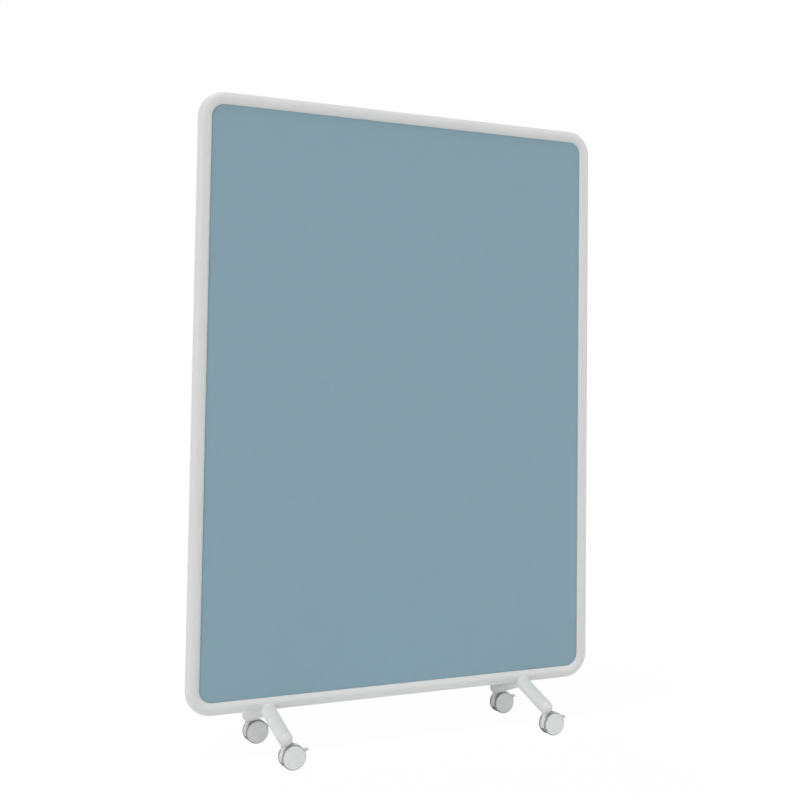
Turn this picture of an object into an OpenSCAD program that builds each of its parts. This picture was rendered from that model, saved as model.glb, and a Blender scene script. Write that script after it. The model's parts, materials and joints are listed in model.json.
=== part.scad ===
// Rolling partition: a cloth-covered panel in a round tube frame, on two
// welded feet with four braked twin-wheel castors.
// Origin on the floor under the middle, X along the width, -Y to the front, Z up.

/* [Frame] */
// Outside width of the tube frame
frame_w = 1148; // [900:1:1400]
// Outside height of the tube frame
frame_h = 1571; // [1200:1:1900]
// Height of the frame's lowest point above the floor
frame_lift = 115.5; // [108:0.5:150]
// Outside diameter of the frame and foot tube
tube_d = 36; // [34:0.5:38]
// Wall of the tube
tube_wall = 1.5; // [1.2:0.1:2]
// Bend radius of the four corners, to the tube's middle
bend_r = 48; // [40:1:90]
// Height of the joint between the upper hoop and the lower rail
joint_z = 250; // [220:1:400]
// Length of the sleeve inside each joint
sleeve_len = 120; // [80:1:200]

/* [Panel] */
// Thickness of the panel over both covers
panel_t = 21; // [18:0.5:24]
// Thickness of one cloth cover
cover_t = 0.9; // [0.6:0.1:1.5]
// Gap between the core board and the tube that it nests against
nest_gap = 0.5; // [0.3:0.1:1]
// Diameter of the locating pins in the rails
pin_d = 8; // [6:1:10]
// Spacing of the three locating pins in each rail
pin_step = 380; // [200:10:420]

/* [Feet] */
// Distance of each foot from the middle
foot_x = 365; // [300:1:420]
// Distance of each castor's stem in front of or behind the panel's middle
stem_y = 147; // [130:1:155]
// Height at which the leg's middle line meets the panel's middle plane
leg_top_z = 120; // [118:0.5:124]
// Height of the middle of the leg's round end
leg_end_z = 73.5; // [73:0.5:80]
// Length of plain collar between the leg tube and the dome
end_collar = 6; // [5:0.5:12]

/* [Castors] */
// Diameter of the wheels over the treads
wheel_d = 60; // [58:1:60]
// Distance from the middle of the castor to the outer face of a wheel
wheel_out = 21; // [20:0.5:25]
// Distance from the middle of the castor to the inner face of a wheel
wheel_in = 9; // [8.5:0.5:10]
// How far the axle trails behind the stem
trail = 18; // [17:0.5:20]
// Diameter of the stem in the leg's end
stem_d = 11; // [10:0.5:11]
// Diameter of the axle
axle_d = 6; // [5:0.5:8]
// Direction in which all four castors trail, seen from above
castor_turn = 0; // [0:1:359]

/* [Hidden] */
$fn = 64;
tube_r = tube_d / 2;
rail_z = frame_lift + tube_r;                    // middle line of the bottom rail
top_z = frame_lift + frame_h - tube_r;           // middle line of the top rail
stile_x = frame_w / 2 - tube_r;                  // middle line of a stile
sleeve_fit = 0.05;
screw_off = sleeve_len / 4;                      // screws above and below a joint
screw_d = 5;
screw_head_d = 9.5;
screw_head_h = 2.6;

core_t = panel_t - 2 * cover_t;
panel_reach = 5;                                 // how far the board passes the tube's inner side
pin_len = 34;
pin_in_tube = 7;
pin_hole_deep = 48;                              // from the rail's middle line

leg_drop = leg_top_z - leg_end_z;
leg_tilt = atan2(leg_drop, stem_y);
leg_len = norm([stem_y, leg_drop]);
leg_wall = 2;
spigot_len = 30;
seat_z = leg_end_z - tube_r + 3.5;               // flat seat under the dome
stem_top = seat_z + 25;
stem_fit = 0.05;

wheel_r = wheel_d / 2;
axle_z = wheel_r;
axle_r = axle_d / 2;
run_fit = 0.05;                                  // radial clearance of what turns
seat_fit = 0.02;                                 // radial clearance of what is fixed
body_half = wheel_in - 0.7;                      // half thickness of the housing's web
body_r = wheel_r + 0.4;                          // radius of the web round the axle
body_soft = 1.6;                                 // bevel along the web's edges
arch_r = wheel_r + 1.2;                          // arch that the wheels turn in
neck_r = 10.7;
neck_top = seat_z - 0.5;
pivot_r = 4;                                     // radius of the stem's lower end
pivot_bottom = 35;
floor_clear = 20;                                // height of the web's flat underside
disc_r = 28;                                     // the wheel's light face
tread_in_r = 24.5;
tread_round = 2.5;
rib_count = 8;
hub_r = 8;

lever_a0 = 14;                                   // lever's paddle, angles round the axle
lever_a1 = 50;
lever_eye_a = 66;
lever_eye_at = 24;
lever_room_r = 17;
lever_arm_r = 22;
lever_pad_r = 24;
lever_out_r = wheel_r + 1.5;
hood_r = lever_out_r - 0.3;                      // the housing's back, flush with the lever
hood_a = 82;                                     // angle at which the back leaves its round
lever_half = 3.9;                                // half width of the arm between the cheeks
lever_gap = 0.4;
tab_a = 21;
tab_in = 36.8;
tab_out = 43;
tab_half = 8;
tab_t = 4.6;
brake_pin_r = 1.5;

CORNERS = [["front_left", -1, -1], ["rear_left", -1, 1], ["front_right", 1, -1], ["rear_right", 1, 1]];
LEG_PARTS = ["leg", "leg_end", "castor_stem"];
CASTOR_PARTS = ["castor_housing", "axle", "inner_wheel", "inner_tread", "outer_wheel", "outer_tread",
                "brake_lever", "brake_pin"];

// ---- shared shapes ---------------------------------------------------------

// One straight length of round bar along a rail or a stile
module bar_x(r, x0, x1, z) {
    translate([x0, 0, z]) rotate([0, 90, 0]) cylinder(r = r, h = x1 - x0);
}

module bar_z(r, x, z0, z1) {
    translate([x, 0, z0]) cylinder(r = r, h = z1 - z0);
}

// A quarter bend of round bar; sx and sz point away from the middle of the frame
module bend(r, sx, sz) {
    z = sz < 0 ? rail_z + bend_r : top_z - bend_r;
    turn = sx > 0 ? (sz > 0 ? 0 : -90) : (sz > 0 ? 90 : 180);
    translate([sx * (stile_x - bend_r), 0, z]) rotate([90, 0, 0]) rotate([0, 0, turn])
        rotate_extrude(angle = 90) translate([bend_r, 0]) circle(r = r);
}

// The lower rail with its two bends and the feet of the stiles
module lower_run(r, end = 0) {
    bar_x(r, bend_r - stile_x, stile_x - bend_r, rail_z);
    for (s = [-1, 1]) {
        bend(r, s, -1);
        bar_z(r, s * stile_x, rail_z + bend_r, joint_z + end);
    }
}

// The upper hoop: two stiles, two bends and the top rail
module upper_run(r, end = 0) {
    bar_x(r, bend_r - stile_x, stile_x - bend_r, top_z);
    for (s = [-1, 1]) {
        bend(r, s, 1);
        bar_z(r, s * stile_x, joint_z - end, top_z - bend_r);
    }
}

// Rounded rectangle in the plane of the panel, as wide as the tube's middle line less inset
module panel_outline(inset, t) {
    w = stile_x - inset;
    h0 = rail_z + inset;
    h1 = top_z - inset;
    r = max(bend_r - inset, 2);
    rotate([90, 0, 0]) linear_extrude(t, center = true) {
        translate([-w + r, h0]) square([2 * (w - r), h1 - h0]);
        translate([-w, h0 + r]) square([2 * w, h1 - h0 - 2 * r]);
        for (x = [-w + r, w - r], z = [h0 + r, h1 - r]) translate([x, z]) circle(r = r);
    }
}

// ---- frame -----------------------------------------------------------------

module rail_pin_holes(z) {
    for (i = [-1:1]) translate([i * pin_step, 0, z]) cylinder(d = pin_d, h = 2 * tube_r, center = true);
}

module sleeve_screw_places() {
    for (s = [-1, 1], k = [-1, 1])
        translate([s * stile_x, 0, joint_z + k * screw_off]) rotate([-90, 0, 0]) children();
}

module upper_frame() {
    color("whitesmoke") difference() {
        upper_run(tube_r);
        upper_run(tube_r - tube_wall, 1);
        rail_pin_holes(top_z - tube_r);
        sleeve_screw_places() cylinder(d = screw_d + 0.1, h = tube_r + 1);
    }
}

module lower_frame() {
    color("whitesmoke") difference() {
        lower_run(tube_r);
        lower_run(tube_r - tube_wall, 1);
        rail_pin_holes(rail_z + tube_r);
        sleeve_screw_places() cylinder(d = screw_d + 0.1, h = tube_r + 1);
    }
}

module sleeve(s) {
    r = tube_r - tube_wall - sleeve_fit;
    color("silver") difference() {
        bar_z(r, s * stile_x, joint_z - sleeve_len / 2, joint_z + sleeve_len / 2);
        bar_z(r - 3, s * stile_x, joint_z - sleeve_len, joint_z + sleeve_len);
        sleeve_screw_places() cylinder(d = screw_d, h = tube_r + 1);
    }
}

// Button-head screws on the back of the stiles, their heads dished to sit on the tube
module sleeve_screws() {
    shank = 8;
    dome_r = 6;
    socket_d = 3.5;
    socket_depth = 1.5;
    color("gainsboro") sleeve_screw_places() {
        translate([0, 0, tube_r - shank]) cylinder(d = screw_d - 2 * seat_fit, h = shank);
        difference() {
            intersection() {
                cylinder(d = screw_head_d, h = tube_r + screw_head_h);
                translate([0, 0, tube_r + screw_head_h - dome_r]) sphere(r = dome_r);
            }
            rotate([90, 0, 0]) cylinder(r = tube_r, h = 2 * tube_r, center = true);
            translate([0, 0, tube_r + screw_head_h - socket_depth]) cylinder(d = socket_d, h = 5, $fn = 6);
        }
    }
}

// ---- panel -----------------------------------------------------------------

// Core board, its edge hollowed all round to nest against the tube
module panel_core() {
    color("lightgray") difference() {
        panel_outline(tube_r - panel_reach, core_t);
        lower_run(tube_r + nest_gap);
        upper_run(tube_r + nest_gap);
        for (i = [-1:1], z = [rail_z, top_z])
            translate([i * pin_step, 0, z]) cylinder(d = pin_d + 0.1, h = 2 * pin_hole_deep, center = true);
    }
}

module cover(s) {
    color("cadetblue") difference() {
        translate([0, s * (panel_t - cover_t) / 2, 0]) panel_outline(tube_r - panel_reach, cover_t);
        lower_run(tube_r + nest_gap / 2);
        upper_run(tube_r + nest_gap / 2);
    }
}

module front_cover() {
    cover(-1);
}

module rear_cover() {
    cover(1);
}

// Pins in the rails' inner sides that locate the board
module panel_pins() {
    tip = 1.2;
    color("silver") for (i = [-1:1], s = [-1, 1]) {
        z = s < 0 ? rail_z : top_z;
        translate([i * pin_step, 0, z]) rotate([s < 0 ? 0 : 180, 0, 0])
            translate([0, 0, tube_r - pin_in_tube]) rotate_extrude()
                polygon([[0, 0], [pin_d / 2 - seat_fit, 0], [pin_d / 2 - seat_fit, pin_len - tip],
                         [pin_d / 2 - tip, pin_len], [0, pin_len]]);
    }
}

// ---- feet ------------------------------------------------------------------

// Puts a leg's middle line along +Z, starting where it meets the panel's plane
module along_leg(c) {
    translate([c[1] * foot_x, 0, leg_top_z]) rotate([c[2] > 0 ? -90 - leg_tilt : 90 + leg_tilt, 0, 0]) children();
}

// Keeps a leg on its own side of the mitre in the panel's plane
module own_side(c) {
    intersection() {
        children();
        translate([c[1] * foot_x - 50, c[2] > 0 ? 0 : -300, 0]) cube([100, 300, 300]);
    }
}

// Leg tube: coped to the rail, mitred to its twin, open to the end fitting
module leg(c) {
    back = 20;
    color("whitesmoke") difference() {
        own_side(c) along_leg(c) translate([0, 0, -back]) cylinder(r = tube_r, h = leg_len + back - end_collar);
        along_leg(c) translate([0, 0, -back - 1]) cylinder(r = tube_r - leg_wall, h = leg_len + back + 2);
        bar_x(tube_r + seat_fit, -stile_x, stile_x, rail_z);
    }
}

// End fitting: spigot in the tube, collar, dome, flat seat and the stem's hole
module leg_end(c) {
    spigot_r = tube_r - leg_wall - seat_fit;
    color("whitesmoke") difference() {
        along_leg(c) translate([0, 0, leg_len]) rotate_extrude() {
            intersection() {
                circle(r = tube_r);
                square(tube_r);
            }
            translate([0, -end_collar]) square([tube_r, end_collar]);
            translate([0, -end_collar - spigot_len]) square([spigot_r, spigot_len]);
        }
        translate([c[1] * foot_x, c[2] * stem_y, 0]) {
            cylinder(r = 2 * tube_r, h = seat_z);
            cylinder(r = stem_d / 2 + stem_fit, h = stem_top + 1);
        }
    }
}

// ---- castors ---------------------------------------------------------------

module at_castor(c) {
    translate([c[1] * foot_x, c[2] * stem_y, 0]) rotate([0, 0, castor_turn]) children();
}

// Puts an axis along the axle, pointing outwards on side s of the castor
module on_axle(s = 1) {
    translate([trail, 0, axle_z]) rotate([s > 0 ? -90 : 90, 0, 0]) children();
}

// Turns a drawing in the plane of the wheels, round the axle, into a plate of half width w
module plate(w) {
    translate([trail, 0, axle_z]) rotate([90, 0, 0]) linear_extrude(2 * w, center = true) children();
}

module sector(r0, r1, a0, a1) {
    difference() {
        intersection() {
            circle(r = r1);
            polygon([[0, 0], for (k = [0:4]) 2 * r1 * [cos(a0 + (a1 - a0) * k / 4), sin(a0 + (a1 - a0) * k / 4)]]);
        }
        circle(r = r0);
    }
}

// Stem: grip ring groove and pointed top in the leg, slim pivot in the housing
module castor_stem() {
    r = stem_d / 2;
    groove = 0.8;
    color("silver") rotate_extrude() polygon([
        [0, pivot_bottom], [pivot_r - 0.6, pivot_bottom], [pivot_r, pivot_bottom + 0.6],
        [pivot_r, neck_top + 0.3], [r, neck_top + 0.3],
        [r, stem_top - 7], [r - groove, stem_top - 6.4], [r - groove, stem_top - 4.6], [r, stem_top - 4],
        [r, stem_top - 2], [r - 2, stem_top], [0, stem_top]]);
}

// The slot that the brake lever works in
module lever_room() {
    plate(body_half + 1) sector(lever_room_r, 2 * wheel_r, lever_a0 - 16, lever_a1 + 2);
    plate(lever_half + lever_gap) {
        sector(lever_room_r, 2 * wheel_r, lever_a0, lever_eye_a);
        rotate(lever_eye_a) translate([lever_eye_at, 0]) circle(r = 5);
        rotate(lever_eye_a) translate([lever_eye_at, -5]) square([20, 10]);
    }
}

// Round web of half width half about the axle, its two edges bevelled
module bevelled_disc(r, half, soft) {
    on_axle() rotate_extrude() polygon([
        [0, -half], [r - soft, -half], [r, soft - half], [r, half - soft], [r - soft, half], [0, half]]);
}

// The housing's back under the leg: what lies between height z and a line that starts inside the neck
// and slopes up, clear of the leg, to meet the round back
module under_leg(z, half = body_half) {
    top = neck_top - axle_z;
    lead = [-trail - 6.5, top - 2];
    tail = [-trail + 9, top - 1.6];
    crest = hood_r * [cos(hood_a), sin(hood_a)];
    plate(half) polygon([[lead.x, z], lead, tail, crest, [crest.x, z]]);
}

// Housing: web between the wheels, neck under the leg, arches for the wheels, lever cheeks
module castor_housing() {
    color("whitesmoke") difference() {
        union() {
            difference() {
                bevelled_disc(body_r, body_half, body_soft);
                under_leg(2 * wheel_r, wheel_out);
            }
            intersection() {
                bevelled_disc(hood_r, body_half, body_soft);
                plate(wheel_out) sector(hub_r, 2 * wheel_r, lever_a1, hood_a);
            }
            under_leg(0);
            on_axle() cylinder(r = axle_r + 4, h = 2 * wheel_in - 0.6, center = true);
            rotate_extrude() polygon([
                [0, 20], [neck_r - 2, 20], [neck_r, 46], [neck_r, neck_top - 1.5],
                [neck_r - 1.5, neck_top], [0, neck_top]]);
        }
        for (s = [-1, 1]) on_axle(s) translate([0, 0, body_half + 0.2]) difference() {
            cylinder(r = arch_r, h = 20);
            cylinder(r = axle_r + 4, h = wheel_in - 0.3 - body_half - 0.2);
        }
        translate([0, 0, pivot_bottom - 1]) cylinder(r = pivot_r + run_fit, h = 40);
        on_axle() cylinder(r = axle_r + seat_fit, h = 40, center = true);
        translate([-60, -20, -20]) cube([120, 40, 20 + floor_clear]);
        lever_room();
        on_axle() rotate(-lever_eye_a) translate([lever_eye_at, 0, 0])
            cylinder(r = brake_pin_r + seat_fit, h = 40, center = true);
    }
}

module axle() {
    half = wheel_out - 4;
    color("silver") on_axle() rotate_extrude() polygon([
        [0, -half], [axle_r - 0.5, -half], [axle_r, 0.5 - half], [axle_r, half - 0.5], [axle_r - 0.5, half], [0, half]]);
}

// Wheel: plain domed face, rim under the tread, ribs and hub behind
module wheel(s) {
    face = wheel_out;
    web = 2.4;
    rim_in = tread_in_r - 2;
    color("lightgray") on_axle(s) difference() {
        union() {
            rotate_extrude() polygon([
                [0, face - web], [rim_in, face - web], [rim_in, wheel_in], [tread_in_r, wheel_in],
                [tread_in_r, face - 2.2], [disc_r, face - 2.2], [disc_r, face - 1.3], [disc_r - 0.9, face - 0.4],
                [disc_r - 2.4, face - 0.4], [disc_r - 2.8, face - 0.8], [disc_r - 3.2, face - 0.4],
                [disc_r / 2, face - 0.1], [0, face]]);
            translate([0, 0, wheel_in]) cylinder(r = hub_r, h = face - wheel_in - 1);
            for (k = [0:rib_count - 1]) rotate(360 / rib_count * k)
                translate([hub_r - 1, -0.8, wheel_in + 3]) cube([rim_in - hub_r + 2, 1.6, face - wheel_in - 4]);
        }
        cylinder(r = axle_r + run_fit, h = wheel_out - 3.6);
    }
}

// Tread: soft ring with rounded shoulders
module tread(s) {
    z0 = wheel_in;
    z1 = wheel_out - 2.3;
    r = wheel_r - tread_round;
    color("gray") on_axle(s) rotate_extrude() {
        translate([tread_in_r + seat_fit, z0]) square([r - tread_in_r - seat_fit, z1 - z0]);
        translate([r, z0 + tread_round]) square([tread_round, z1 - z0 - 2 * tread_round]);
        for (z = [z0 + tread_round, z1 - tread_round]) translate([r, z]) circle(r = tread_round);
    }
}

// Brake lever: eye on the pin, arm between the cheeks, paddle, turned-up tab
module brake_lever() {
    color("whitesmoke") difference() {
        union() {
            plate(lever_half) {
                sector(lever_arm_r, lever_out_r, lever_a0 + 4, lever_eye_a - 3);
                rotate(lever_eye_a) translate([lever_eye_at, 0]) circle(r = 4.2);
            }
            intersection() {
                bevelled_disc(lever_out_r, body_half, 1);
                plate(wheel_out) sector(lever_pad_r, 2 * wheel_r, lever_a0, lever_a1 - 4);
            }
            plate(body_half) rotate(tab_a) translate([lever_out_r - 4, -tab_t / 2]) square([tab_out - lever_out_r, tab_t]);
            plate(tab_half) rotate(tab_a) tab_tip();
        }
        on_axle() rotate(-lever_eye_a) translate([lever_eye_at, 0, 0])
            cylinder(r = brake_pin_r + run_fit, h = 40, center = true);
    }
}

// Outline of the tab's wide tip, its end rounded
module tab_tip() {
    r = tab_t / 2;
    translate([tab_in, -r]) square([tab_out - tab_in - r, tab_t]);
    translate([tab_out - r, 0]) circle(r = r);
}

module brake_pin() {
    color("silver") on_axle() rotate(-lever_eye_a) translate([lever_eye_at, 0, 0])
        cylinder(r = brake_pin_r, h = 2 * body_half - 0.4, center = true);
}

// ---- all nodes -------------------------------------------------------------

upper_frame();
lower_frame();
sleeve(-1);  // left_sleeve
sleeve(1);  // right_sleeve
sleeve_screws();
panel_core();
front_cover();
rear_cover();
panel_pins();
for (c = CORNERS) {
    leg(c);
    leg_end(c);
    at_castor(c) castor_stem();
    at_castor(c) castor_housing();
    at_castor(c) axle();
    at_castor(c) wheel(-c[2]);
    at_castor(c) tread(-c[2]);
    at_castor(c) wheel(c[2]);
    at_castor(c) tread(c[2]);
    at_castor(c) brake_lever();
    at_castor(c) brake_pin();
}
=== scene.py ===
# %% [markdown]
# # Dressing a rolling partition
# The construction of this screen is already worked out, piece by piece, in metres: a round tube
# frame, a board between two cloth covers, two feet and four castors. This notebook gives it its
# looks. It never moves a piece of the construction. It adds what a drawing leaves out, such as
# cloth that rolls over an edge or the bead of a weld, and it gives every surface a finish at its
# real scale.

# %% Load the construction
import json

import bpy
import numpy as np
from mathutils import Matrix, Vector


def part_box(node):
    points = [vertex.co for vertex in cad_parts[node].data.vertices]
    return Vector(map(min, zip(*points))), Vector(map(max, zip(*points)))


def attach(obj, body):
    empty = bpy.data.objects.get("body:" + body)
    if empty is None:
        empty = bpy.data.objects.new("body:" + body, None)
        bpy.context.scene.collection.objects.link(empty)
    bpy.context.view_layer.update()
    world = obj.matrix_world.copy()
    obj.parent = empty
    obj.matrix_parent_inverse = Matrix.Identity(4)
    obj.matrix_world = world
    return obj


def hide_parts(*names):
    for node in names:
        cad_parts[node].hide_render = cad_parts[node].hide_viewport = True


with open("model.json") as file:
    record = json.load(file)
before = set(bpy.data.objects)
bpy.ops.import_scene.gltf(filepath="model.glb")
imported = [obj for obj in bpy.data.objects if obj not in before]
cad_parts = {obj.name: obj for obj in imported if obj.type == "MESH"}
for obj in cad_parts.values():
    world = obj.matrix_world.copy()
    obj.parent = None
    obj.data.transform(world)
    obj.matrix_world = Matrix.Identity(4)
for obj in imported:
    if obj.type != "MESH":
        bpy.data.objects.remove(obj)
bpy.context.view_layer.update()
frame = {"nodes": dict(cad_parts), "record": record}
MM = 0.001
print("pieces of the construction:", len(frame["nodes"]))

# %% [markdown]
# ## Measures taken from the construction
# Every new piece has to sit on an existing one, so its measures are read from the construction's
# own boxes. A box gives the lowest and highest corner of one piece. Only what no box shows is
# typed in from the drawing: here the radius of the frame's corners, and further down two measures
# of the legs.

# %% Measures
upper_low, upper_high = np.array(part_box("upper_frame"))
lower_low, _ = np.array(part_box("lower_frame"))
cover_low, _ = np.array(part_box("front_cover"))
TUBE_R = (upper_high[1] - upper_low[1]) / 2
STILE_X = upper_high[0] - TUBE_R
RAIL_Z = lower_low[2] + TUBE_R
TOP_Z = upper_high[2] - TUBE_R
FACE_Y = -cover_low[1]
BEND_R = 48 * MM
print(f"tube {2000 * TUBE_R:.1f} mm, stiles at {1000 * STILE_X:.1f} mm, rails at "
      f"{1000 * RAIL_Z:.1f} and {1000 * TOP_Z:.1f} mm, cloth faces at {1000 * FACE_Y:.1f} mm")

# %% [markdown]
# ## The camera
# The view is a three-quarter one from the left of the front. The picture is cropped off its
# centre, and a shift of the lens does the same here: it slides the picture without turning the
# upright edges. The camera's three axes are worked out from a heading, a pitch and a small roll,
# and go straight into its matrix, which is safer than juggling Euler angles.

# %% Camera
CAMERA_PLACE = (-1.4863, -3.4487, 0.9204)  # metres
HEADING, PITCH, ROLL = 29.818, 3.479, -0.384  # degrees
LENS, SENSOR = 61.89, 36.0  # millimetres
SHIFT = (-0.202, -0.1117)  # shares of the picture's width
CLIP = (0.05, 60.0)  # metres


def aimed(place, heading, pitch, roll):
    """Matrix of a camera or lamp: forward from heading and pitch, right level and square to it,
    down square to both, then right and down turned by roll. Both look along their own -z."""
    h, p, r = np.radians([heading, pitch, roll])
    forward = np.array([np.sin(h) * np.cos(p), np.cos(h) * np.cos(p), np.sin(p)])
    right = np.array([np.cos(h), -np.sin(h), 0.0])
    down = np.cross(forward, right)
    right, down = np.cos(r) * right + np.sin(r) * down, np.cos(r) * down - np.sin(r) * right
    axes = np.eye(4)
    axes[:3, 0], axes[:3, 1], axes[:3, 2], axes[:3, 3] = right, -down, -forward, place
    return Matrix(axes.tolist())


camera = bpy.data.objects.new("camera", bpy.data.cameras.new("camera"))
bpy.context.scene.collection.objects.link(camera)
camera.data.lens, camera.data.sensor_width = LENS, SENSOR
camera.data.shift_x, camera.data.shift_y = SHIFT
camera.data.clip_start, camera.data.clip_end = CLIP
camera.matrix_world = aimed(CAMERA_PLACE, HEADING, PITCH, ROLL)
bpy.context.scene.camera = camera
print("camera at", CAMERA_PLACE)

# %% [markdown]
# ## Shader nodes as Python
# A material is a graph of nodes, and a long graph is hard to read as code. So one small class
# wraps an output socket and overloads the arithmetic operators: `1 - mask * 0.2` adds the Math
# nodes by itself. A second class holds the graph, and one method of it makes every other kind of
# node. A finish is such a graph with a Principled shader in it.

# %% Sockets that do arithmetic
class Link:
    """An output socket of a graph. Arithmetic and comparisons on it add Math nodes."""

    def __init__(self, graph, socket):
        self.graph, self.socket = graph, socket

    def math(self, operation, *values):
        settings = {"operation": operation}
        return self.graph.node("ShaderNodeMath", settings, dict(enumerate(values)))

    def __add__(self, other):
        return self.math("ADD", self, other)

    def __sub__(self, other):
        return self.math("SUBTRACT", self, other)

    def __rsub__(self, other):
        return self.math("SUBTRACT", other, self)

    def __mul__(self, other):
        return self.math("MULTIPLY", self, other)

    def __gt__(self, other):
        return self.math("GREATER_THAN", self, other)

    def __abs__(self):
        return self.math("ABSOLUTE", self)

    __radd__, __rmul__ = __add__, __mul__

    def sine(self):
        return self.math("SINE", self)

    def sign(self):
        return self.math("SIGN", self)

    def larger(self, other):
        return self.math("MAXIMUM", self, other)


print("sockets can be added, multiplied and compared")

# %% Graphs of nodes
class Graph:
    """The nodes of a material or of the world, while they are being joined up."""

    def __init__(self, tree):
        self.nodes, self.links = tree.nodes, tree.links

    def plug(self, target, value):
        """Joins a link to an input socket, or writes a plain value on it."""
        if isinstance(value, Link):
            self.links.new(value.socket, target)
        else:
            target.default_value = value

    def node(self, kind, settings, sockets, out=0):
        """Any node: its type, its settings, then its sockets by name or number."""
        made = self.nodes.new(kind)
        for name, value in settings.items():
            setattr(made, name, value)
        for key, value in sockets.items():
            self.plug(made.inputs[key], value)
        return Link(self, made.outputs[out])


print("one method makes every kind of node")

# %% Finishes
# A Mix node has a set of sockets for each kind of value. These are the ones for colours.
MIX_FACTOR, MIX_FIRST, MIX_SECOND, MIX_COLOUR = 0, 6, 7, 2


class Finish(Graph):
    """A material under construction: a Principled shader and the nodes that feed it."""

    def __init__(self, name, **shader):
        self.material = bpy.data.materials.new(name)
        self.material.use_nodes = True
        super().__init__(self.material.node_tree)
        self.shader = self.nodes["Principled BSDF"]
        for socket, value in shader.items():
            self.shader.inputs[socket.replace("_", " ")].default_value = value

    def place(self):
        """The point on the piece, in metres."""
        return self.node("ShaderNodeTexCoord", {}, {}, out="Object")

    def axes(self):
        """The point's x, y and z as three links."""
        split = self.node("ShaderNodeSeparateXYZ", {}, {"Vector": self.place()})
        return [Link(self, output) for output in split.socket.node.outputs]

    def noise(self, size, detail, stretch=(1, 1, 1)):
        """Smooth noise from 0 to 1. Its lumps are about size metres across, times stretch."""
        scaled = self.node("ShaderNodeVectorMath", {"operation": "MULTIPLY"},
                           {0: self.place(), 1: tuple(1 / s for s in stretch)})
        return self.node("ShaderNodeTexNoise", {},
                         {"Vector": scaled, "Scale": 1 / size, "Detail": detail})

    def blend(self, mask, first, second):
        """A colour between two, by a mask from 0 to 1."""
        return self.node("ShaderNodeMix", {"data_type": "RGBA"},
                         {MIX_FACTOR: mask, MIX_FIRST: first, MIX_SECOND: second}, out=MIX_COLOUR)

    def tint(self, mask, colour, spread):
        """A colour that goes from darker to lighter with the mask, by spread either way."""
        return self.blend(mask, shade(colour, 1 - spread), shade(colour, 1 + spread))

    def feed(self, socket, value):
        """Joins a link to one of the shader's sockets."""
        self.plug(self.shader.inputs[socket], value)

    def relief(self, height, depth):
        """Bump of a height from 0 to 1, depth metres deep."""
        self.feed("Normal", self.node("ShaderNodeBump", {}, {"Height": height, "Distance": depth}))


def shade(colour, factor):
    """A colour made lighter or darker by a factor."""
    return tuple(min(1.0, c * factor) for c in colour[:3]) + (1.0,)


print("finishes can be built")

# %% [markdown]
# ## Powder coat on the tubes
# The frame is steel tube with a white powder coat. Sprayed powder melts into a skin that is never
# quite level: it has the orange peel of lumps one or two millimetres wide and a few hundredths
# deep. That shows as a soft break-up of the highlights, so it goes into the bump and a little into
# the roughness. The colour itself is very even, and drifts by a percent or so over a hand's width.

# %% Powder coat
PAINT = (0.646, 0.649, 0.644, 1.0)
DRIFT, PEEL, SPECK = 110 * MM, 1.6 * MM, 0.5 * MM  # width of the lumps
PEEL_DEPTH = 0.06 * MM
SMOOTHEST, PEEL_ROUGH, SPECK_ROUGH = 0.36, 0.1, 0.06  # least roughness, and what lumps add to it


def powder_coat(name, colour):
    """Colour follows the drift. Gloss and relief follow the peel, with finer specks on it."""
    finish = Finish(name, Specular_IOR_Level=0.4)
    drift = finish.noise(DRIFT, detail=1.0)
    peel = finish.noise(PEEL, detail=2.0)
    speck = finish.noise(SPECK, detail=1.0)
    finish.feed("Base Color", finish.tint(drift, colour, spread=0.015))
    finish.feed("Roughness", SMOOTHEST + peel * PEEL_ROUGH + speck * SPECK_ROUGH)
    finish.relief(peel * 0.85 + speck * 0.15, PEEL_DEPTH)
    return finish.material


frame_paint = powder_coat("frame_paint", PAINT)
screw_paint = powder_coat("screw_paint", shade(PAINT, 0.97))
print("powder coat:", frame_paint.name, "and", screw_paint.name)

# %% [markdown]
# ## Woven cloth
# Each face is a plain-weave upholstery cloth in blue-grey, with threads about 0.8 mm apart. In a
# plain weave every warp thread goes over one weft thread and under the next. With u and v counted
# in threads, sin(pi u) is zero between two warp threads, and its sign changes from one thread to
# the next. So sign(sin(pi u)) * sin(pi v) lifts and lowers a warp thread along its length, the
# weft does the opposite, and the cloth's surface is the higher of the two. Yarn is never one flat
# colour: the two directions differ a little, and each thread has lighter and darker stretches.

# %% Cloth finish
CLOTH = (0.2415, 0.3655, 0.4285, 1.0)
THREAD = 0.8 * MM
YARN, STREAK = 1.1 * MM, 9  # width of a thread's light and dark stretches, and how drawn out
CLOUD = 60 * MM
WEAVE_DEPTH = 0.12 * MM
ROUND, LIFT = 0.6, 0.4  # how much of the height is the thread's own, and how much its wave
WARP_TONES, WEFT_TONES = (0.95, 1.10), (0.88, 1.03)  # darkest and lightest stretch of a thread


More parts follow.
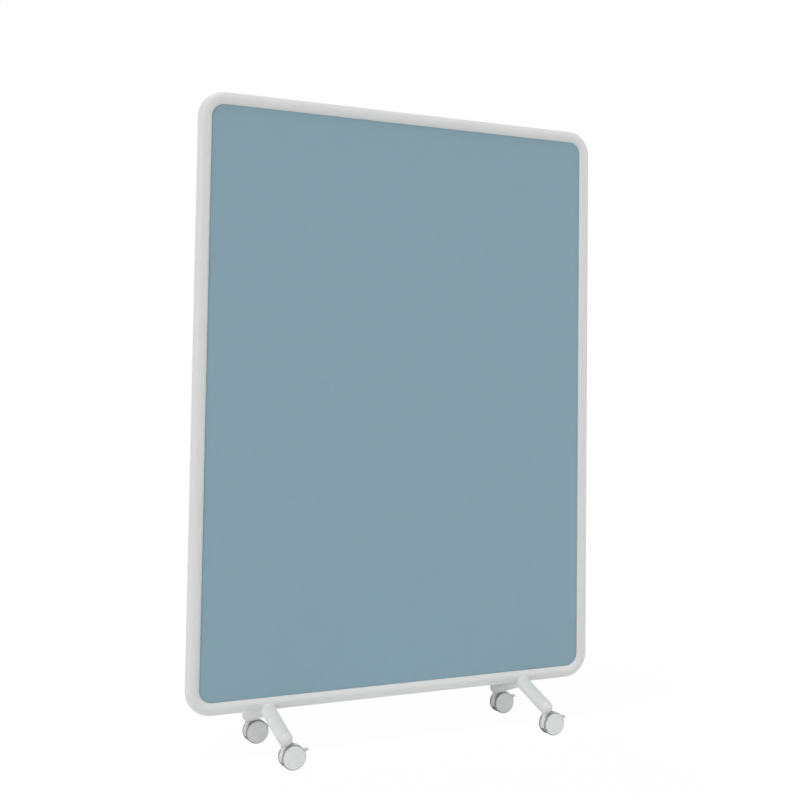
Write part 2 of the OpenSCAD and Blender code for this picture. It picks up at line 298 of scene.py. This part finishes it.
def woven_cloth(name, colour):
    """Height of a warp thread: ROUND * |sin pi u| + LIFT * sign(sin pi u) * sin pi v. The weft's
    is the same with u and v exchanged and the wave turned over."""
    finish = Finish(name, Specular_IOR_Level=0.2)
    x, _, z = finish.axes()
    across, along = (x * (np.pi / THREAD)).sine(), (z * (np.pi / THREAD)).sine()
    warp = abs(across) * ROUND + across.sign() * along * LIFT
    weft = abs(along) * ROUND - along.sign() * across * LIFT
    over = warp > weft
    yarn_up = finish.noise(YARN, detail=2.0, stretch=(1, 1, STREAK))
    yarn_across = finish.noise(YARN, detail=2.0, stretch=(STREAK, 1, 1))
    yarn = over * yarn_up + (1 - over) * yarn_across
    cloud = finish.noise(CLOUD, detail=3.0)
    dark, light = (finish.blend(over, shade(colour, weft_tone), shade(colour, warp_tone))
                   for weft_tone, warp_tone in zip(WEFT_TONES, WARP_TONES))
    tone = yarn * 0.8 + cloud * 0.2
    relief = warp.larger(weft) * 0.8 + yarn * 0.2
    finish.feed("Base Color", finish.blend(tone, dark, light))
    finish.feed("Roughness", 0.82 + yarn * 0.14)
    finish.relief(relief, WEAVE_DEPTH)
    return finish.material


cloth = woven_cloth("cloth", CLOTH)
print("cloth:", cloth.name, "threads per metre", round(1 / THREAD))

# %% [markdown]
# ## Moulded plastic, soft treads, bright steel
# The castors are moulded nylon with the fine even grain of an eroded mould, their treads are a
# softer grey ring, and what is inside is zinc-plated steel, drawn or turned, so its scratches run
# round or along. One function makes both plastics, the tread and the board, because they differ
# only in grain, gloss and colour. Plastic also flows unevenly into its mould, which leaves a
# faint cloudiness about a centimetre wide.

# %% Plastics and board
HOUSING = (0.66, 0.66, 0.645, 1.0)
WHEEL = (0.695, 0.7, 0.69, 1.0)
TREAD = (0.30, 0.303, 0.30, 1.0)
BOARD = (0.46, 0.44, 0.40, 1.0)
FLOW = 12 * MM


def moulded(name, colour, gloss, grain, depth):
    """Pits are grain metres wide and depth deep. Roughness is 1 - gloss, and up to 0.06 more or
    less by the pits. The tone is mostly the flow, with some of the pits."""
    finish = Finish(name, Specular_IOR_Level=0.4)
    pits = finish.noise(grain, detail=3.0)
    flow = finish.noise(FLOW, detail=1.0)
    tone = flow * 0.7 + pits * 0.3
    finish.feed("Base Color", finish.tint(tone, colour, spread=0.03))
    finish.feed("Roughness", 1 - gloss + (pits - 0.5) * 0.12)
    finish.relief(pits, depth)
    return finish.material


castor_plastic = moulded("castor_plastic", HOUSING, gloss=0.5, grain=0.6 * MM, depth=0.03 * MM)
wheel_plastic = moulded("wheel_plastic", WHEEL, gloss=0.52, grain=0.5 * MM, depth=0.03 * MM)
tread_rubber = moulded("tread", TREAD, gloss=0.28, grain=0.9 * MM, depth=0.06 * MM)
core_board = moulded("core_board", BOARD, gloss=0.1, grain=2 * MM, depth=0.2 * MM)
print("plastics, treads and board ready")

# %% Steel
STEEL = (0.56, 0.56, 0.57, 1.0)
SCRATCH, SCRATCH_RUN = 0.4 * MM, 14  # width, and how much longer than wide
SCRATCH_DEPTH = 0.01 * MM


def bright_steel(name, colour):
    """Metal whose colour, gloss and relief all follow one set of long fine scratches."""
    finish = Finish(name, Metallic=1.0)
    scratch = finish.noise(SCRATCH, detail=3.0, stretch=(1, 1, SCRATCH_RUN))
    finish.feed("Base Color", finish.tint(scratch, colour, spread=0.08))
    finish.feed("Roughness", 0.26 + scratch * 0.16)
    finish.relief(scratch, SCRATCH_DEPTH)
    return finish.material


steel = bright_steel("steel", STEEL)
print("steel:", steel.name)

# %% [markdown]
# ## Finishes onto the construction
# The construction says which finish every piece is made of, so one table from finish to material
# dresses all of its pieces, and a piece that is added later can't be forgotten.

# %% Dress the construction
MATERIALS = {
    "frame_paint": frame_paint, "screw_paint": screw_paint, "cloth": cloth,
    "core_board": core_board, "castor_plastic": castor_plastic, "wheel_plastic": wheel_plastic,
    "tread": tread_rubber, "steel": steel,
}
for part in frame["record"]["subparts"]:
    node = frame["nodes"][part["node"]]
    node.data.materials.clear()
    node.data.materials.append(MATERIALS[part["material_slot"]])

# %% [markdown]
# ## Surfaces from formulas
# Each new piece is a grid of points worked out with numpy: rows along one parameter, columns along
# the other, and a face between every four neighbours. The helper takes the grid as an array of
# shape (rows, columns, 3). All the pieces here are rings or closed slices, so it always joins the
# last column to the first. Where it is given a pole, it gathers the last row into that point.

# %% From a grid to a piece
def grid_faces(rows, columns):
    """Corner numbers of the quads between neighbours. After the last column comes the first."""
    i, j = np.meshgrid(np.arange(rows - 1), np.arange(columns), indexing="ij")
    here, below = i * columns, (i + 1) * columns
    beside = (j + 1) % columns
    return np.stack([here + j, here + beside, below + beside, below + j], -1).reshape(-1, 4)


def piece_from_grid(name, points, slot, pole=None, flip=False):
    """A smooth mesh from a grid of points. Flip turns its faces the other way round."""
    rows, columns = points.shape[:2]
    faces = grid_faces(rows, columns).tolist()
    vertices = points.reshape(-1, 3).tolist()
    if pole is not None:
        vertices.append(list(pole))
        ring = (rows - 1) * columns + np.arange(columns)
        pairs = zip(ring.tolist(), np.roll(ring, -1).tolist())
        faces += [[a, b, len(vertices) - 1] for a, b in pairs]
    if flip:
        faces = [face[::-1] for face in faces]
    mesh = bpy.data.meshes.new(name)
    mesh.from_pydata(vertices, [], faces)
    mesh.shade_smooth()
    piece = bpy.data.objects.new(name, mesh)
    bpy.context.scene.collection.objects.link(piece)
    piece.data.materials.append(MATERIALS[slot])
    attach(piece, "stand")
    print(f"{name}: {len(vertices)} points, {len(faces)} faces")
    return piece


print("grids can be made into pieces")

# %% [markdown]
# ## The cloth covers
# The cloth is glued over the board, rolls over its edge and is tucked in beside the tube. What
# tells cloth from a painted board is that roll: a small round edge with a fine dark line next to
# the tube. So a cover isn't a flat plate. Its surface is a set of rings that follow the panel's
# outline. Seen in a slice square to the tube, the outer rings climb out of the groove round the
# tube, turn over an arc and come out onto the face. The inner rings shrink towards the middle,
# where the cloth stands a little proud over the soft board. The weave is in the finish, and a
# Solidify modifier gives the cloth its thickness.

# %% Slice through the cloth's edge
GROOVE_R = TUBE_R + 0.2 * MM
EDGE_ROLL = 0.8 * MM
TUCK_Y = 4 * MM
GROOVE_STEPS, ROLL_STEPS = 6, 7
FACE_INSETS = np.array([19.5, 22, 26, 31, 37, 44]) * MM  # rings on the face, close by its edge


def edge_slice():
    """Distance from the tube's middle line, and height over the panel's middle. The slice goes up
    the groove on a circle round the tube, over a roll that is tangent to it and to the face, and
    then flat along the face."""
    roll_y = FACE_Y - EDGE_ROLL
    roll_x = np.sqrt((GROOVE_R + EDGE_ROLL) ** 2 - roll_y ** 2)
    lean = np.arctan2(roll_y, roll_x)
    groove = np.linspace(np.arcsin(TUCK_Y / GROOVE_R), lean, GROOVE_STEPS)
    roll = np.linspace(np.pi + lean, np.pi / 2, ROLL_STEPS)[1:]
    inset = np.concatenate([GROOVE_R * np.cos(groove), roll_x + EDGE_ROLL * np.cos(roll),
                            FACE_INSETS])
    height = np.concatenate([GROOVE_R * np.sin(groove), roll_y + EDGE_ROLL * np.sin(roll),
                             np.full(len(FACE_INSETS), FACE_Y)])
    return inset, height


inset, height = edge_slice()
print(f"edge slice: {len(inset)} points, {1000 * height[0]:.1f} to {1000 * height[-1]:.1f} mm high")

# %% Outline of the panel
def outline_ring(arc_steps=14, long_steps=44, short_steps=32):
    """A rounded rectangle as centres and unit directions: each of its rings is centre plus radius
    times direction. A corner has one centre and turns through a quarter circle. Along a straight
    side the direction stays, and the centre moves from one corner to the next."""
    half_w, low, high = STILE_X - BEND_R, RAIL_Z + BEND_R, TOP_Z - BEND_R
    corners = np.array([[half_w, low], [half_w, high], [-half_w, high], [-half_w, low]])
    centres, turns = [], []
    for k in range(4):
        angles = np.radians(-90 + 90 * k) + np.linspace(0, np.pi / 2, arc_steps)
        steps = long_steps if k % 2 == 0 else short_steps
        share = np.linspace(0, 1, steps + 1)[1:-1, None]
        centres += [np.repeat(corners[k:k + 1], arc_steps, 0),
                    corners[k] * (1 - share) + corners[(k + 1) % 4] * share]
        turns += [angles, np.full(steps - 1, angles[-1])]
    turns = np.concatenate(turns)
    return np.concatenate(centres), np.stack([np.cos(turns), np.sin(turns)], -1)


centres, directions = outline_ring()
print("outline:", len(centres), "points a ring")

# %% Surface of a cover
INNER_RINGS = np.linspace(0.96, 0.06, 14)  # size of each, as a share of the last ring outside
CROWN, CROWN_POWER = 0.25 * MM, 6  # height over the board, and how far out it stays flat
MIDDLE = np.array([0.0, (RAIL_Z + TOP_Z) / 2])
OPENING = 2 * np.array([STILE_X - TUBE_R, (TOP_Z - RAIL_Z) / 2 - TUBE_R])


def cover_surface(side):
    """Rings of the outline, inset and raised by the edge slice, then shrunk to the middle of the
    face. On the face the height grows by CROWN * (1 - x ** 6) * (1 - z ** 6), with x and z from 0
    in the middle to 1 at the tube."""
    outer = centres + (BEND_R - inset)[:, None, None] * directions
    inner = MIDDLE + (outer[-1] - MIDDLE) * INNER_RINGS[:, None, None]
    xz = np.concatenate([outer, inner])
    y = np.concatenate([np.repeat(height[:, None], len(centres), 1),
                        np.full(inner.shape[:2], FACE_Y)])
    share = np.minimum(np.abs(xz - MIDDLE) / (OPENING / 2), 1)
    crown = CROWN * np.prod(1 - share ** CROWN_POWER, axis=-1)
    y = side * (y + crown * (y >= FACE_Y))
    pole = (MIDDLE[0], side * (FACE_Y + CROWN), MIDDLE[1])
    return np.stack([xz[..., 0], y, xz[..., 1]], -1), pole


print(f"opening between the tubes: {OPENING[0]:.3f} by {OPENING[1]:.3f} m")

# %% Stretched cloth
CLOTH_THICK = 0.9 * MM
for name, side in (("front", -1), ("rear", 1)):
    surface, pole = cover_surface(side)
    cover = piece_from_grid(f"{name}_cloth", surface, "cloth", pole=pole, flip=side > 0)
    thickness = cover.modifiers.new("thickness", "SOLIDIFY")
    thickness.thickness = CLOTH_THICK
    thickness.offset = -1
    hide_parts(f"{name}_cover")

# %% [markdown]
# ## Weld beads
# Each leg is a tube whose end is cut to the curve of the rail, pushed against it and welded all
# round. The seam is where two cylinders cross. For a point at angle a round the leg, its distance
# s along the leg solves a quadratic: it has to lie on the rail's circle as well. Below the rail
# the two legs of a foot meet each other instead, in the plane of the panel. A bead is a small
# rounded fillet carried along that seam, with the faint ripple of the weld pool, and the paint
# covers it.

# %% Seam of a leg
FOOT_X, STEM_Y, _ = np.abs(np.mean(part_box("front_left_castor_stem"), axis=0))
LEG_TOP_Z = 120 * MM  # where the middle lines of a foot's two legs meet
SEAT_CUT = 3.5 * MM  # how much the castor's seat cuts off the leg's round end
LEG_END_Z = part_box("front_left_leg_end")[0][2] - SEAT_CUT + TUBE_R
TILT = np.arctan2(LEG_TOP_Z - LEG_END_Z, STEM_Y)


def leg_point(a, s, side):
    """Point on the leg's surface: s metres down its middle line, then TUBE_R out at angle a."""
    y = side * (s * np.cos(TILT) + TUBE_R * np.sin(a) * np.sin(TILT))
    z = LEG_TOP_Z - s * np.sin(TILT) + TUBE_R * np.sin(a) * np.cos(TILT)
    return np.stack([TUBE_R * np.cos(a), y, z], -1)


def leg_normal(a, side):
    """Outward direction of the leg's surface at angle a: a unit circle, leant by the tilt."""
    return np.stack([np.cos(a), side * np.sin(a) * np.sin(TILT), np.sin(a) * np.cos(TILT)], -1)


def seam_on_rail(a):
    """s where the leg's surface meets the rail: the larger root of s*s + 2*b*s + c = 0."""
    rise = LEG_TOP_Z - RAIL_Z + TUBE_R * np.sin(a) * np.cos(TILT)
    out = TUBE_R * np.sin(a) * np.sin(TILT)
    b = out * np.cos(TILT) - rise * np.sin(TILT)
    c = out ** 2 + rise ** 2 - TUBE_R ** 2
    return -b + np.sqrt(np.maximum(b * b - c, 0))


def seam_on_twin(a):
    """s where the leg's surface meets the panel's plane, and its twin: there y is 0."""
    return -TUBE_R * np.sin(a) * np.tan(TILT)


angles = np.linspace(-np.pi / 2, np.pi / 2, 721)  # every quarter of a degree
twin_height = leg_point(angles, seam_on_twin(angles), 1)[:, 2] - RAIL_Z
TURN_A = angles[np.argmax(twin_height > -TUBE_R)]
print(f"seam leaves the rail at {np.degrees(TURN_A):.1f} degrees round the leg, "
      f"tilt {np.degrees(TILT):.1f}")

# %% Beads
BEAD = 4 * MM
RIPPLE, RIPPLE_PITCH = 0.08 * MM, 2.6 * MM
COPE_STEPS, MITRE_STEPS = 150, 110


def bead_rows(first, corner, second, steps=7):
    """Closed slices of a fillet: a curve from first to second that is pulled to the corner, as
    (1 - t) ** 2 * first + 2 * t * (1 - t) * corner + t ** 2 * second, and back by the corner."""
    t = np.linspace(0, 1, steps)[:, None, None]
    curve = (1 - t) ** 2 * first + 2 * t * (1 - t) * corner + t ** 2 * second
    return np.swapaxes(np.concatenate([curve, corner[None]]), 0, 1)


def bead_width(a):
    """BEAD plus a sine wave of height RIPPLE, one for every RIPPLE_PITCH round the leg."""
    return BEAD + RIPPLE * np.sin(2 * np.pi * a * TUBE_R / RIPPLE_PITCH)


def cope_bead(side):
    """Fillet between a leg and the rail, over the top half of the leg. Its edge on the rail is a
    bead's width off the seam along the leg's normal, then pulled onto the rail's circle."""
    a = np.linspace(TURN_A, np.pi - TURN_A, COPE_STEPS)
    s, width = seam_on_rail(a), bead_width(a)
    seam = leg_point(a, s, side)
    on_rail = seam + width[:, None] * leg_normal(a, side)
    radial = on_rail[:, 1:] - [0, RAIL_Z]
    pull = TUBE_R / np.linalg.norm(radial, axis=1)
    on_rail[:, 1:] = [0, RAIL_Z] + radial * pull[:, None]
    return bead_rows(leg_point(a, s + width, side), seam, on_rail)


def mitre_bead():
    """Fillet between the two legs of a foot, under the rail: a bead's width down each leg."""
    a = np.linspace(np.pi - TURN_A, 2 * np.pi + TURN_A, MITRE_STEPS)
    s, width = seam_on_twin(a), bead_width(a)
    return bead_rows(leg_point(a, s + width, 1), leg_point(a, s, 1), leg_point(a, s + width, -1))


for foot, foot_x in (("left", -FOOT_X), ("right", FOOT_X)):
    for end, side in (("front", -1), ("rear", 1)):
        piece_from_grid(f"{end}_{foot}_weld", cope_bead(side) + [foot_x, 0, 0], "frame_paint",
                        flip=side < 0)
    piece_from_grid(f"{foot}_mitre_weld", mitre_bead() + [foot_x, 0, 0], "frame_paint")

# %% [markdown]
# ## Light
# The screen stands in an even white studio. The world gives the even part of the light: it is
# plain white where it is seen, straight, in gloss or through glass, and dimmer as a lamp. Four
# large soft lamps give the rest: one high on the left, a low one on each side of the front, and
# one behind. They are far off, so that they light the whole screen alike, and their strengths are
# written on the world's scale, so that they can be read against it.

# %% World
AMBIENT = 0.35
WHITE = (1, 1, 1, 1)


def seen(graph):
    """1 for a ray of the camera, and for one that gloss or glass sends on. 0 for all others."""
    rays = graph.node("ShaderNodeLightPath", {}, {}).socket.node.outputs
    camera_ray, glossy_ray, glass_ray = (
        Link(graph, rays[name])
        for name in ("Is Camera Ray", "Is Glossy Ray", "Is Transmission Ray"))
    return camera_ray.larger(glossy_ray).larger(glass_ray)


def studio(plain, lit):
    """A white world, of strength plain where it is seen and of strength lit as a lamp."""
    world = bpy.data.worlds.new("studio")
    world.use_nodes = True
    graph = Graph(world.node_tree)
    lit_sky, plain_sky = (
        graph.node("ShaderNodeBackground", {}, {"Color": WHITE, "Strength": strength})
        for strength in (lit, plain))
    # Socket 0 is the share of the second shader in the mix.
    sky = graph.node("ShaderNodeMixShader", {}, {0: seen(graph), 1: lit_sky, 2: plain_sky})
    graph.plug(graph.nodes["World Output"].inputs["Surface"], sky)
    return world


bpy.context.scene.world = studio(plain=1.0, lit=AMBIENT)
print("world: strength", AMBIENT, "as a lamp")

# %% Lamps
def lamp(name, turn, rise, strength, far=40.0, wide=16.0):
    """A soft lamp, turn degrees from the front towards the left and rise degrees up. On a surface
    that faces it, a lamp of energy E gives as much light as a world of strength
    E / (pi * far) ** 2, so the energy is the strength times (pi * far) ** 2."""
    t, r = np.radians([turn, rise])
    light = bpy.data.lights.new(name, "AREA")
    light.size, light.energy = wide, strength * (np.pi * far) ** 2
    made = bpy.data.objects.new(name, light)
    bpy.context.scene.collection.objects.link(made)
    place = far * np.array([-np.sin(t) * np.cos(r), -np.cos(t) * np.cos(r), np.sin(r)])
    made.matrix_world = aimed(place, turn, -rise, 0)
    print(f"lamp {name}: strength {strength}")


lamp("high", turn=60, rise=70, strength=0.497)
lamp("left", turn=60, rise=15, strength=0.241)
lamp("right", turn=-60, rise=15, strength=0.26)
lamp("back", turn=180, rise=35, strength=0.2)

# %% [markdown]
# ## Floor
# The floor has to be as white as the world, so that no edge shows between them, and still keep the
# castors' faint shadows. So where it is seen it mixes plain white with a pale surface that takes
# light. Near the screen that surface has a share of 4 percent, and further off it fades out. To
# all other rays the floor is the pale surface alone, so it throws no more light up at the screen
# than a real floor would.

# %% Floor
FLOOR_HALF = 14.0
FLOOR_COLOUR = (0.95, 0.95, 0.95, 1)
NEAR, FAR = 0.96, 1.0  # share of plain white, near the screen and far from it
FADE_FROM, FADE_TO = 0.8, 3.0  # metres from the middle of the floor
corners = [(x * FLOOR_HALF, y * FLOOR_HALF, 0) for x, y in ((-1, -1), (1, -1), (1, 1), (-1, 1))]
floor_mesh = bpy.data.meshes.new("floor")
floor_mesh.from_pydata(corners, [], [(0, 1, 2, 3)])
floor = bpy.data.objects.new("floor", floor_mesh)
bpy.context.scene.collection.objects.link(floor)

pale = Finish("floor", Base_Color=FLOOR_COLOUR, Roughness=0.8, Specular_IOR_Level=0.1)
away = pale.node("ShaderNodeVectorMath", {"operation": "LENGTH"}, {0: pale.place()}, out="Value")
fade = pale.node("ShaderNodeMapRange", {"interpolation_type": "SMOOTHSTEP"},
                 {"Value": away, "From Min": FADE_FROM, "From Max": FADE_TO,
                  "To Min": NEAR, "To Max": FAR})
takes_light = Link(pale, pale.shader.outputs[0])
plain_white = pale.node("ShaderNodeEmission", {}, {"Color": WHITE, "Strength": 1.0})
white_share = seen(pale) * fade
mixed = pale.node("ShaderNodeMixShader", {}, {0: white_share, 1: takes_light, 2: plain_white})
pale.plug(pale.nodes["Material Output"].inputs["Surface"], mixed)
floor_mesh.materials.append(pale.material)
print(f"floor {2 * FLOOR_HALF:.0f} m wide, {NEAR} to {FAR} plain white")

# %% [markdown]
# ## Colour management
# The Standard view shows a colour as it is written.

# %% Colour management
bpy.context.scene.view_settings.view_transform = "Standard"
